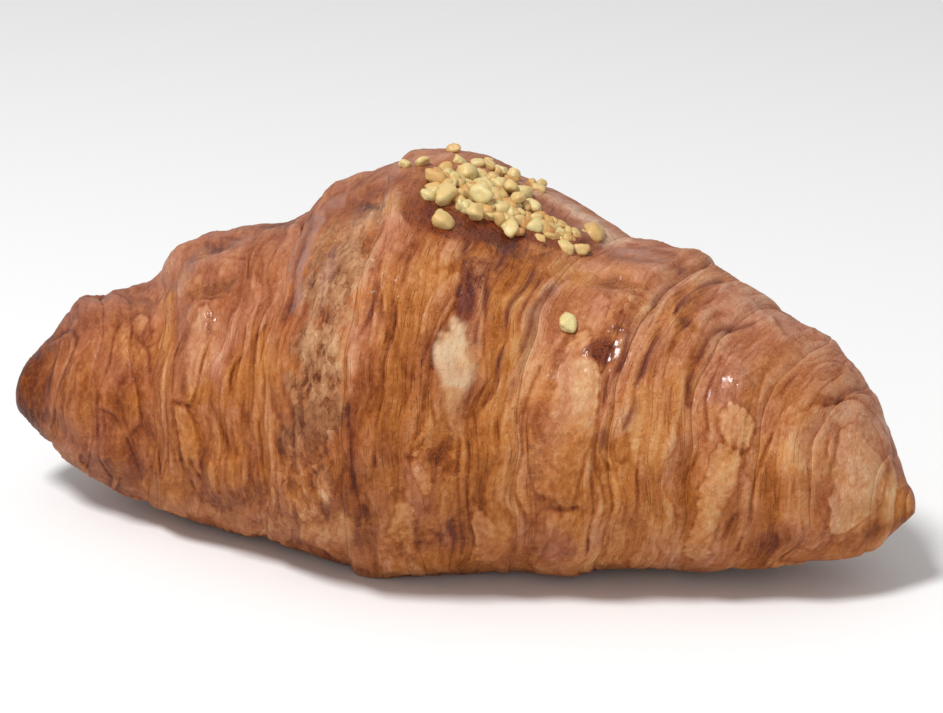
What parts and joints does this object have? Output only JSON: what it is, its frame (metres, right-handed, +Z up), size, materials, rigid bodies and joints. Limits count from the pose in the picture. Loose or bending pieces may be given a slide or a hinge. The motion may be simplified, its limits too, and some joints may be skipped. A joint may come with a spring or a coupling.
{
  "type": "almond croissant",
  "caption": "Straight spindle-shaped croissant of rolled laminated dough, its wraps stepping up to a high middle, lying on its flat underside.",
  "frame": {"origin": "on the surface that it rests on, under the middle of its length and width", "axes": "+X along its length towards the end that is blunter and nearer in the picture, +Z up, the shown side faces -Y"},
  "size_m": [0.1548, 0.0792, 0.0641],
  "materials": {
    "crust": null
  },
  "bodies": {
    "root": {"croissant": "crust"}
  },
  "joints": []
}
